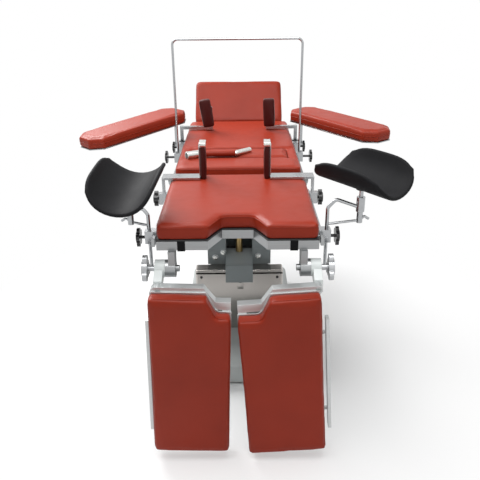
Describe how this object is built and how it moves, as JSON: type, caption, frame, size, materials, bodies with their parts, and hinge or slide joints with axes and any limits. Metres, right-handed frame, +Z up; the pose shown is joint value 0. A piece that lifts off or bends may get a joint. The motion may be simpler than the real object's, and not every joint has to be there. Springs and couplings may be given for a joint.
{
  "type": "operating table",
  "caption": "Padded operating table on a lifting column with folding leg plates, leg holders, arm boards and side supports.",
  "frame": {"origin": "floor level under the centre of the lifting column", "axes": "+Z up, -Y towards the foot end, +X to the right seen from the foot end"},
  "size_m": [1.2841, 1.6857, 1.201],
  "materials": {
    "red_vinyl": "satin",
    "dark_vinyl": "satin",
    "board_black": "matte",
    "frame_steel": "satin",
    "polished_steel": "polished",
    "cast_grey": "satin",
    "cast_base": "satin",
    "screw_brass": "satin",
    "knob_black": "gloss",
    "knob_silver": "polished",
    "foot_rubber": "matte",
    "saddle_black": "satin"
  },
  "bodies": {
    "base": {"base_cover": "cast_base", "levelling_feet": "foot_rubber", "column_casing": "polished_steel", "lift_cylinder": "frame_steel"},
    "lift": {"lift_sleeve": "frame_steel", "column_lid": "polished_steel", "piston_rod": "polished_steel", "tilt_head": "cast_grey", "height_screw": "screw_brass"},
    "cradle": {"tilt_cradle": "cast_grey"},
    "seat": {"seat_beams": "frame_steel", "seat_frame": "frame_steel", "seat_board": "board_black", "seat_pad": "red_vinyl", "pad_straps": "board_black", "seat_rails": "frame_steel"},
    "back": {"back_frame": "frame_steel", "back_board": "board_black", "back_pad": "red_vinyl", "back_rails": "frame_steel"},
    "bridge": {"bridge_plate": "frame_steel", "bridge_pad": "red_vinyl"},
    "head": {"head_frame": "frame_steel", "head_pad": "red_vinyl"},
    "crank": {"crank_handle": "polished_steel"},
    "screen": {"screen_frame": "polished_steel"},
    "leg_joint_left": {"leg_joint_left": "cast_grey"},
    "leg_left": {"leg_frame_left": "frame_steel", "leg_pad_left": "red_vinyl"},
    "leg_knob_left": {"leg_knob_left": "knob_silver"},
    "lateral_left": {"lateral_arm_left": "polished_steel", "lateral_pad_left": "dark_vinyl"},
    "lateral_knob_left": {"lateral_knob_left": "knob_black"},
    "shoulder_left": {"shoulder_arm_left": "polished_steel", "shoulder_pad_left": "dark_vinyl"},
    "arm_post_left": {"arm_post_left": "polished_steel"},
    "arm_board_left": {"arm_board_left": "red_vinyl"},
    "arm_knob_left": {"arm_knob_left": "knob_black"},
    "holder_left": {"holder_rod_left": "polished_steel"},
    "saddle_left": {"saddle_left": "saddle_black", "saddle_neck_left": "polished_steel"},
    "holder_knob_left": {"holder_knob_left": "knob_black"},
    "screen_knob_left": {"screen_knob_left": "knob_black"},
    "leg_joint_right": {"leg_joint_right": "cast_grey"},
    "leg_right": {"leg_frame_right": "frame_steel", "leg_pad_right": "red_vinyl"},
    "leg_knob_right": {"leg_knob_right": "knob_silver"},
    "lateral_right": {"lateral_arm_right": "polished_steel", "lateral_pad_right": "dark_vinyl"},
    "lateral_knob_right": {"lateral_knob_right": "knob_black"},
    "shoulder_right": {"shoulder_arm_right": "polished_steel", "shoulder_pad_right": "dark_vinyl"},
    "arm_post_right": {"arm_post_right": "polished_steel"},
    "arm_board_right": {"arm_board_right": "red_vinyl"},
    "arm_knob_right": {"arm_knob_right": "knob_black"},
    "holder_right": {"holder_rod_right": "polished_steel"},
    "saddle_right": {"saddle_right": "saddle_black", "saddle_neck_right": "polished_steel"},
    "holder_knob_right": {"holder_knob_right": "knob_black"},
    "screen_knob_right": {"screen_knob_right": "knob_black"}
  },
  "joints": [
    {"name": "lift_slide", "type": "slide", "parent": "base", "child": "lift", "axis": [0, 0, 1], "range_m": [0, 0.25]},
    {"name": "trend_hinge", "type": "hinge", "parent": "lift", "child": "cradle", "pos_m": [0, 0, 0.52], "axis": [1, 0, 0], "range_deg": [-25, 25]},
    {"name": "tilt_hinge", "type": "hinge", "parent": "cradle", "child": "seat", "pos_m": [0, 0, 0.57], "axis": [0, 1, 0], "range_deg": [-15, 15]},
    {"name": "back_hinge", "type": "hinge", "parent": "seat", "child": "back", "pos_m": [0, -0.1465, 0.74], "axis": [1, 0, 0], "range_deg": [-15, 70]},
    {"name": "bridge_slide", "type": "slide", "parent": "back", "child": "bridge", "axis": [0, 0, 1], "range_m": [0, 0.11]},
    {"name": "crank_lift_off", "type": "slide", "parent": "bridge", "child": "crank", "axis": [0, 0, 1], "range_m": [0, 0.12]},
    {"name": "head_hinge", "type": "hinge", "parent": "back", "child": "head", "pos_m": [0, 0.706, 0.732], "axis": [1, 0, 0], "range_deg": [-88, 8]},
    {"name": "screen_slide", "type": "slide", "parent": "back", "child": "screen", "axis": [0, 1, 0], "range_m": [-0.2, 0]},
    {"name": "leg_fold_left", "type": "hinge", "parent": "seat", "child": "leg_joint_left", "pos_m": [0, -0.665, 0.6285], "axis": [-1, 0, 0], "range_deg": [0, 90]},
    {"name": "leg_swing_left", "type": "hinge", "parent": "leg_joint_left", "child": "leg_left", "pos_m": [-0.232, -0.727, 0.6], "axis": [0, 1, 0], "range_deg": [-1.7, 75]},
    {"name": "lateral_slide_left", "type": "slide", "parent": "seat", "child": "lateral_left", "axis": [0, 1, 0], "range_m": [-0.2, 0.02]},
    {"name": "shoulder_slide_left", "type": "slide", "parent": "back", "child": "shoulder_left", "axis": [0, 1, 0], "range_m": [-0.015, 0.12]},
    {"name": "arm_slide_left", "type": "slide", "parent": "back", "child": "arm_post_left", "axis": [0, 1, 0], "range_m": [-0.05, 0.015]},
    {"name": "arm_swing_left", "type": "hinge", "parent": "arm_post_left", "child": "arm_board_left", "pos_m": [-0.29, 0.445, 0.821], "axis": [0, 0, -1], "range_deg": [-18, 60]},
    {"name": "holder_slide_left", "type": "slide", "parent": "seat", "child": "holder_left", "axis": [0, 1, 0], "range_m": [-0.02, 0.25]},
    {"name": "saddle_swivel_left", "type": "hinge", "parent": "holder_left", "child": "saddle_left", "pos_m": [-0.325, -0.585, 0.8], "axis": [0, 0, -1], "range_deg": [-40, 40]},
    {"name": "leg_fold_right", "type": "hinge", "parent": "seat", "child": "leg_joint_right", "pos_m": [0, -0.665, 0.6285], "axis": [-1, 0, 0], "range_deg": [0, 90]},
    {"name": "leg_swing_right", "type": "hinge", "parent": "leg_joint_right", "child": "leg_right", "pos_m": [0.232, -0.727, 0.6], "axis": [0, -1, 0], "range_deg": [-4, 75]},
    {"name": "lateral_slide_right", "type": "slide", "parent": "seat", "child": "lateral_right", "axis": [0, 1, 0], "range_m": [-0.2, 0.02]},
    {"name": "shoulder_slide_right", "type": "slide", "parent": "back", "child": "shoulder_right", "axis": [0, 1, 0], "range_m": [-0.015, 0.12]},
    {"name": "arm_slide_right", "type": "slide", "parent": "back", "child": "arm_post_right", "axis": [0, 1, 0], "range_m": [-0.05, 0.015]},
    {"name": "arm_swing_right", "type": "hinge", "parent": "arm_post_right", "child": "arm_board_right", "pos_m": [0.29, 0.445, 0.821], "axis": [0, 0, 1], "range_deg": [-14, 60]},
    {"name": "holder_slide_right", "type": "slide", "parent": "seat", "child": "holder_right", "axis": [0, 1, 0], "range_m": [-0.02, 0.25]},
    {"name": "saddle_swivel_right", "type": "hinge", "parent": "holder_right", "child": "saddle_right", "pos_m": [0.37, -0.585, 0.8], "axis": [0, 0, 1], "range_deg": [-40, 40]},
    {"name": "leg_knob_turn_left", "type": "hinge", "parent": "leg_joint_left", "child": "leg_knob_left", "pos_m": [-0.27, -0.665, 0.6285], "axis": [-1, 0, 0], "continuous": true},
    {"name": "lateral_knob_turn_left", "type": "hinge", "parent": "lateral_left", "child": "lateral_knob_left", "pos_m": [-0.29, -0.25, 0.7], "axis": [-1, 0, 0], "continuous": true},
    {"name": "arm_knob_turn_left", "type": "hinge", "parent": "arm_post_left", "child": "arm_knob_left", "pos_m": [-0.29, 0.445, 0.7], "axis": [-1, 0, 0], "continuous": true},
    {"name": "holder_knob_turn_left", "type": "hinge", "parent": "holder_left", "child": "holder_knob_left", "pos_m": [-0.29, -0.593, 0.7], "axis": [-1, 0, 0], "continuous": true},
    {"name": "screen_knob_turn_left", "type": "hinge", "parent": "screen", "child": "screen_knob_left", "pos_m": [-0.29, 0.28, 0.7], "axis": [-1, 0, 0], "continuous": true},
    {"name": "leg_knob_turn_right", "type": "hinge", "parent": "leg_joint_right", "child": "leg_knob_right", "pos_m": [0.27, -0.665, 0.6285], "axis": [1, 0, 0], "continuous": true},
    {"name": "lateral_knob_turn_right", "type": "hinge", "parent": "lateral_right", "child": "lateral_knob_right", "pos_m": [0.29, -0.25, 0.7], "axis": [1, 0, 0], "continuous": true},
    {"name": "arm_knob_turn_right", "type": "hinge", "parent": "arm_post_right", "child": "arm_knob_right", "pos_m": [0.29, 0.445, 0.7], "axis": [1, 0, 0], "continuous": true},
    {"name": "holder_knob_turn_right", "type": "hinge", "parent": "holder_right", "child": "holder_knob_right", "pos_m": [0.29, -0.593, 0.7], "axis": [1, 0, 0], "continuous": true},
    {"name": "screen_knob_turn_right", "type": "hinge", "parent": "screen", "child": "screen_knob_right", "pos_m": [0.29, 0.28, 0.7], "axis": [1, 0, 0], "continuous": true}
  ]
}
